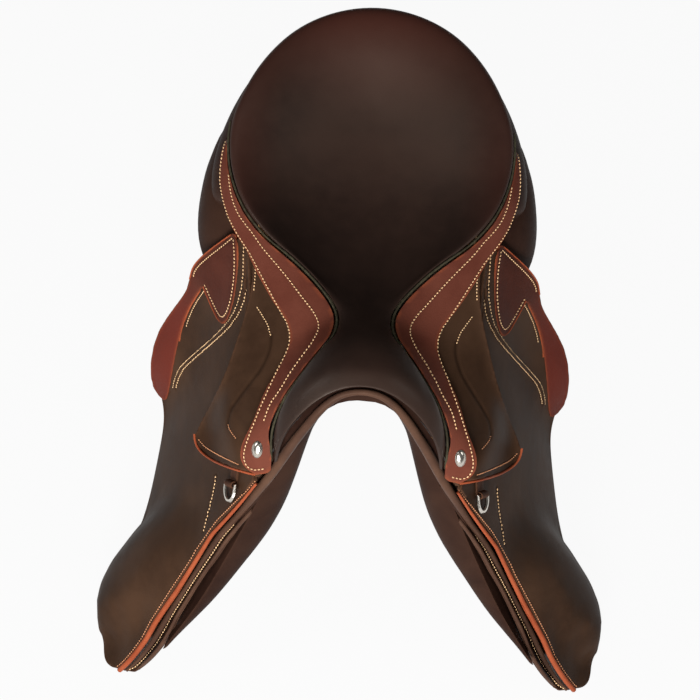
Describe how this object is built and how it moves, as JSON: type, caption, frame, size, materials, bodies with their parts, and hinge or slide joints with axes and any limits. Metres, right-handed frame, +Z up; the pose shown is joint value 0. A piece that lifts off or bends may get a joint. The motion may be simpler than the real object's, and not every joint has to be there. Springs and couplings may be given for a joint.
{
  "type": "jumping saddle",
  "caption": "Close-contact jumping saddle: deep seat on a wooden tree, lifting flaps and skirts, girth straps under the flaps and a stirrup bar with a pivoted catch on each side.",
  "frame": {"origin": "in the gullet on the middle line, on the back that carries the saddle, under the deepest part of the seat", "axes": "+Z up, +Y towards the cantle (the horse's tail), +X towards the horse's left (near) side"},
  "size_m": [0.59, 0.5381, 0.519],
  "materials": {
    "arch_welt": "smooth dark brown, satin",
    "bar_catch_left": "forged, brushed",
    "bar_catch_right": "forged, brushed",
    "billet_1_left": "brown strap, waxed",
    "billet_1_right": "brown strap, waxed",
    "billet_2_left": "brown strap, waxed",
    "billet_2_right": "brown strap, waxed",
    "billet_3_left": "brown strap, waxed",
    "billet_3_right": "brown strap, waxed",
    "billet_guard_left": "smooth dark brown, satin",
    "billet_guard_right": "smooth dark brown, satin",
    "cantle_back": "smooth dark brown, satin",
    "catch_pin_left": "forged, brushed",
    "catch_pin_right": "forged, brushed",
    "dee_chape_left": "smooth dark brown, satin",
    "dee_chape_right": "smooth dark brown, satin",
    "dee_left": "polished",
    "dee_right": "polished",
    "facing_left": "burgundy, satin",
    "facing_right": "burgundy, satin",
    "flap_heel_left": "brick red, satin",
    "flap_heel_right": "brick red, satin",
    "flap_left": "smooth dark brown, satin",
    "flap_patch_left": "burgundy, satin",
    "flap_patch_right": "burgundy, satin",
    "flap_piping_left": "orange rolled edge",
    "flap_piping_right": "orange rolled edge",
    "flap_right": "smooth dark brown, satin",
    "flap_root_left": "smooth dark brown, satin",
    "flap_root_right": "smooth dark brown, satin",
    "girth_webbing_front": "woven canvas webbing",
    "girth_webbing_rear": "woven canvas webbing",
    "gullet_plate": "forged, brushed",
    "head_plate": "forged, brushed",
    "knee_block_left": "smooth dark brown, satin",
    "knee_block_right": "smooth dark brown, satin",
    "nail_head_left": "polished",
    "nail_head_right": "polished",
    "panel_left": "smooth dark brown, satin",
    "panel_right": "smooth dark brown, satin",
    "seat_cover": "smooth dark brown, satin",
    "seat_foam": "cream moulded foam",
    "seat_piping_left": "black-green rolled edge",
    "seat_piping_right": "black-green rolled edge",
    "seat_webbing": "woven canvas webbing",
    "skirt_left": "smooth dark brown, satin",
    "skirt_piping_left": "orange rolled edge",
    "skirt_piping_right": "orange rolled edge",
    "skirt_right": "smooth dark brown, satin",
    "skirt_root_left": "smooth dark brown, satin",
    "skirt_root_right": "smooth dark brown, satin",
    "stirrup_bar_left": "forged, brushed",
    "stirrup_bar_right": "forged, brushed",
    "sweat_flap_left": "smooth dark brown, satin",
    "sweat_flap_right": "smooth dark brown, satin",
    "thigh_block_left": "smooth dark brown, satin",
    "thigh_block_right": "smooth dark brown, satin",
    "tree": "varnished laminated beech"
  },
  "bodies": {
    "saddle": {"arch_welt": "arch_welt", "billet_guard_left": "billet_guard_left", "billet_guard_right": "billet_guard_right", "cantle_back": "cantle_back", "catch_pin_left": "catch_pin_left", "catch_pin_right": "catch_pin_right", "facing_left": "facing_left", "facing_right": "facing_right", "flap_root_left": "flap_root_left", "flap_root_right": "flap_root_right", "girth_webbing_front": "girth_webbing_front", "girth_webbing_rear": "girth_webbing_rear", "gullet_plate": "gullet_plate", "head_plate": "head_plate", "knee_block_left": "knee_block_left", "knee_block_right": "knee_block_right", "nail_head_left": "nail_head_left", "nail_head_right": "nail_head_right", "panel_left": "panel_left", "panel_right": "panel_right", "seat_cover": "seat_cover", "seat_foam": "seat_foam", "seat_piping_left": "seat_piping_left", "seat_piping_right": "seat_piping_right", "seat_webbing": "seat_webbing", "skirt_root_left": "skirt_root_left", "skirt_root_right": "skirt_root_right", "stirrup_bar_left": "stirrup_bar_left", "stirrup_bar_right": "stirrup_bar_right", "sweat_flap_left": "sweat_flap_left", "sweat_flap_right": "sweat_flap_right", "thigh_block_left": "thigh_block_left", "thigh_block_right": "thigh_block_right", "tree": "tree"},
    "flap_left": {"flap_left": "flap_left", "flap_patch_left": "flap_patch_left", "flap_heel_left": "flap_heel_left", "flap_piping_left": "flap_piping_left", "dee_chape_left": "dee_chape_left"},
    "skirt_left": {"skirt_left": "skirt_left", "skirt_piping_left": "skirt_piping_left"},
    "billet_1_left": {"billet_1_left": "billet_1_left"},
    "billet_2_left": {"billet_2_left": "billet_2_left"},
    "billet_3_left": {"billet_3_left": "billet_3_left"},
    "dee_left": {"dee_left": "dee_left"},
    "bar_catch_left": {"bar_catch_left": "bar_catch_left"},
    "flap_right": {"flap_right": "flap_right", "flap_patch_right": "flap_patch_right", "flap_heel_right": "flap_heel_right", "flap_piping_right": "flap_piping_right", "dee_chape_right": "dee_chape_right"},
    "skirt_right": {"skirt_right": "skirt_right", "skirt_piping_right": "skirt_piping_right"},
    "billet_1_right": {"billet_1_right": "billet_1_right"},
    "billet_2_right": {"billet_2_right": "billet_2_right"},
    "billet_3_right": {"billet_3_right": "billet_3_right"},
    "dee_right": {"dee_right": "dee_right"},
    "bar_catch_right": {"bar_catch_right": "bar_catch_right"}
  },
  "joints": [
    {"name": "flap_lift_left", "type": "hinge", "parent": "saddle", "child": "flap_left", "pos_m": [0.116, -0.2, -0.036], "axis": [-0.0553, -0.9449, -0.3226], "range_deg": [0, 55]},
    {"name": "flap_lift_right", "type": "hinge", "parent": "saddle", "child": "flap_right", "pos_m": [-0.116, -0.2, -0.036], "axis": [-0.0553, 0.9449, 0.3226], "range_deg": [0, 55]},
    {"name": "skirt_lift_left", "type": "hinge", "parent": "flap_left", "child": "skirt_left", "pos_m": [0.116, -0.2, -0.036], "axis": [-0.0553, -0.9449, -0.3226], "range_deg": [0, 50]},
    {"name": "skirt_lift_right", "type": "hinge", "parent": "flap_right", "child": "skirt_right", "pos_m": [-0.116, -0.2, -0.036], "axis": [-0.0553, 0.9449, 0.3226], "range_deg": [0, 50]},
    {"name": "billet_1_swing_left", "type": "hinge", "parent": "saddle", "child": "billet_1_left", "pos_m": [0.11731, -0.11914, -0.0669], "axis": [1, 0, 0], "range_deg": [-2, 2]},
    {"name": "billet_1_swing_right", "type": "hinge", "parent": "saddle", "child": "billet_1_right", "pos_m": [-0.11731, -0.11914, -0.0669], "axis": [1, 0, 0], "range_deg": [-2, 2]},
    {"name": "billet_2_swing_left", "type": "hinge", "parent": "saddle", "child": "billet_2_left", "pos_m": [0.116, -0.07996, -0.03853], "axis": [1, 0, 0], "range_deg": [-2, 2]},
    {"name": "billet_2_swing_right", "type": "hinge", "parent": "saddle", "child": "billet_2_right", "pos_m": [-0.116, -0.07996, -0.03853], "axis": [1, 0, 0], "range_deg": [-2, 2]},
    {"name": "billet_3_swing_left", "type": "hinge", "parent": "saddle", "child": "billet_3_left", "pos_m": [0.11251, -0.04097, -0.00728], "axis": [1, 0, 0], "range_deg": [-2, 2]},
    {"name": "billet_3_swing_right", "type": "hinge", "parent": "saddle", "child": "billet_3_right", "pos_m": [-0.11251, -0.04097, -0.00728], "axis": [1, 0, 0], "range_deg": [-2, 2]},
    {"name": "dee_swing_left", "type": "hinge", "parent": "flap_left", "child": "dee_left", "pos_m": [0.12574, -0.18745, -0.07979], "axis": [-0.4593, -0.5244, 0.717], "range_deg": [0, 60]},
    {"name": "dee_swing_right", "type": "hinge", "parent": "flap_right", "child": "dee_right", "pos_m": [-0.12574, -0.18745, -0.07979], "axis": [-0.4593, 0.5244, -0.717], "range_deg": [0, 60]},
    {"name": "catch_lift_left", "type": "hinge", "parent": "saddle", "child": "bar_catch_left", "pos_m": [0.12564, -0.09216, -0.01962], "axis": [0.8853, -0.2402, 0.3983], "range_deg": [0, 60]},
    {"name": "catch_lift_right", "type": "hinge", "parent": "saddle", "child": "bar_catch_right", "pos_m": [-0.12564, -0.09216, -0.01962], "axis": [0.8853, 0.2402, -0.3983], "range_deg": [0, 60]}
  ]
}
